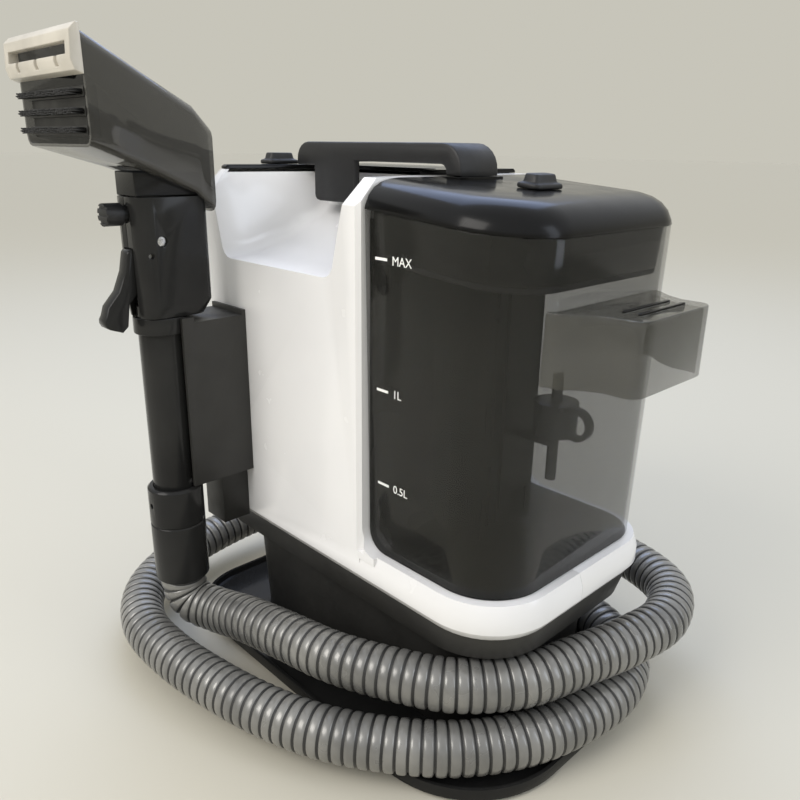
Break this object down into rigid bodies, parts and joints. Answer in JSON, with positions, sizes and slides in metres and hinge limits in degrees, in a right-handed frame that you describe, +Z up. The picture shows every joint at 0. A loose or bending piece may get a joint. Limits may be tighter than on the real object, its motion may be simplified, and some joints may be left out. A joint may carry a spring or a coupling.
{
  "type": "carpet cleaner",
  "caption": "Upright portable carpet cleaner with smoked dirty-water tank, carry handle, corrugated hose wound round the base and a trigger hand tool in a side holder.",
  "frame": {"origin": "centre of the flat underside of the hose tray, on the floor plane", "axes": "+Z up, +X towards the dirty-water tank, -Y towards the side with the tool holder"},
  "size_m": [0.4601, 0.4017, 0.49],
  "materials": {
    "white_shell": "gloss",
    "black_gloss": "gloss",
    "black_matt": "matt",
    "handle_grey": "satin",
    "smoked_clear": "gloss",
    "lip_pale": "satin",
    "hose_grey": "satin",
    "rubber_black": "matt",
    "bristle_black": "matt",
    "circuit_green": "matt",
    "steel": "satin"
  },
  "bodies": {
    "chassis": {"base_tray": "black_gloss", "rubber_foot_1": "rubber_black", "rubber_foot_2": "rubber_black", "rubber_foot_3": "rubber_black", "rubber_foot_4": "rubber_black", "base_screw_1": "steel", "base_screw_2": "steel", "base_screw_3": "steel", "base_screw_4": "steel", "base_housing": "black_matt", "hose_port": "black_gloss", "mains_inlet": "black_gloss", "shell_front_half": "white_shell", "shell_rear_half": "white_shell", "top_cover": "black_gloss", "carry_handle": "handle_grey", "suction_motor": "steel", "fan_housing": "handle_grey", "water_pump": "handle_grey", "control_board": "circuit_green", "waste_duct": "black_gloss", "tool_holder": "black_matt", "holder_screw_1": "steel", "holder_screw_2": "steel", "suction_hose": "hose_grey", "tank_bay_liner": "black_matt"},
    "clean_latch": {"clean_tank_latch": "handle_grey"},
    "power_switch": {"power_button": "black_gloss"},
    "fan_rotor": {"suction_fan": "black_gloss"},
    "clean_water_tank": {"clean_tank": "smoked_clear", "clean_tank_valve": "black_gloss"},
    "clean_cap": {"clean_tank_lid": "black_gloss"},
    "dirty_water_tank": {"dirty_tank": "smoked_clear", "tank_grip": "smoked_clear", "tank_column": "black_gloss", "float_guide": "black_gloss"},
    "float_body": {"shutoff_float": "black_gloss"},
    "dirty_lid": {"dirty_tank_lid": "black_gloss", "lid_gasket": "rubber_black", "lid_catch": "black_gloss"},
    "lid_latch": {"dirty_lid_latch": "handle_grey"},
    "hand_tool": {"hose_cuff": "black_gloss", "wand_tube": "black_gloss", "wand_collar": "black_gloss", "grip_left_half": "black_gloss", "grip_right_half": "black_gloss", "grip_screw": "steel", "trigger_pin": "steel"},
    "spray_trigger": {"trigger": "black_gloss"},
    "head_release": {"release_button": "handle_grey"},
    "nozzle_head": {"nozzle_hood": "smoked_clear", "nozzle_neck": "black_gloss", "suction_lip": "lip_pale", "brush_block": "black_gloss", "bristle_row_1": "bristle_black", "bristle_row_2": "bristle_black", "bristle_row_3": "bristle_black", "spray_tip": "black_gloss"}
  },
  "joints": [
    {"name": "clean_latch_slide", "type": "slide", "parent": "chassis", "child": "clean_latch", "axis": [0, 1, 0], "range_m": [0, 0.004]},
    {"name": "power_press", "type": "slide", "parent": "chassis", "child": "power_switch", "axis": [1, 0, 0], "range_m": [0, 0.0025], "stiffness_N_per_m": 600, "springref_m": -0.003},
    {"name": "fan_spin", "type": "hinge", "parent": "chassis", "child": "fan_rotor", "pos_m": [-0.05, 0, 0.083], "axis": [0, 0, 1], "continuous": true},
    {"name": "clean_tank_lift", "type": "slide", "parent": "chassis", "child": "clean_water_tank", "axis": [0, 0, 1], "range_m": [0, 0.12]},
    {"name": "clean_lid_lift", "type": "slide", "parent": "clean_water_tank", "child": "clean_cap", "axis": [0, 0, 1], "range_m": [0, 0.03]},
    {"name": "dirty_tank_lift", "type": "slide", "parent": "chassis", "child": "dirty_water_tank", "axis": [0, 0, 1], "range_m": [0, 0.12]},
    {"name": "float_rise", "type": "slide", "parent": "dirty_water_tank", "child": "float_body", "axis": [0, 0, 1], "range_m": [0, 0.016]},
    {"name": "dirty_lid_lift", "type": "slide", "parent": "dirty_water_tank", "child": "dirty_lid", "axis": [0, 0, 1], "range_m": [0, 0.06]},
    {"name": "lid_latch_slide", "type": "slide", "parent": "dirty_lid", "child": "lid_latch", "axis": [-0.9968, 0, 0.0797], "range_m": [0, 0.004]},
    {"name": "tool_pull_out", "type": "slide", "parent": "chassis", "child": "hand_tool", "axis": [0, -1, 0], "range_m": [0, 0.1]},
    {"name": "trigger_squeeze", "type": "hinge", "parent": "hand_tool", "child": "spray_trigger", "pos_m": [-0.135, -0.167, 0.347], "axis": [1, 0, 0], "range_deg": [0, 7], "stiffness_Nm_per_rad": 0.6, "springref_deg": -8.59},
    {"name": "release_press", "type": "slide", "parent": "hand_tool", "child": "head_release", "axis": [0, 1, 0], "range_m": [0, 0.003], "stiffness_N_per_m": 500, "springref_m": -0.002},
    {"name": "head_pull_off", "type": "slide", "parent": "hand_tool", "child": "nozzle_head", "axis": [0, 0, 1], "range_m": [0, 0.04]}
  ]
}
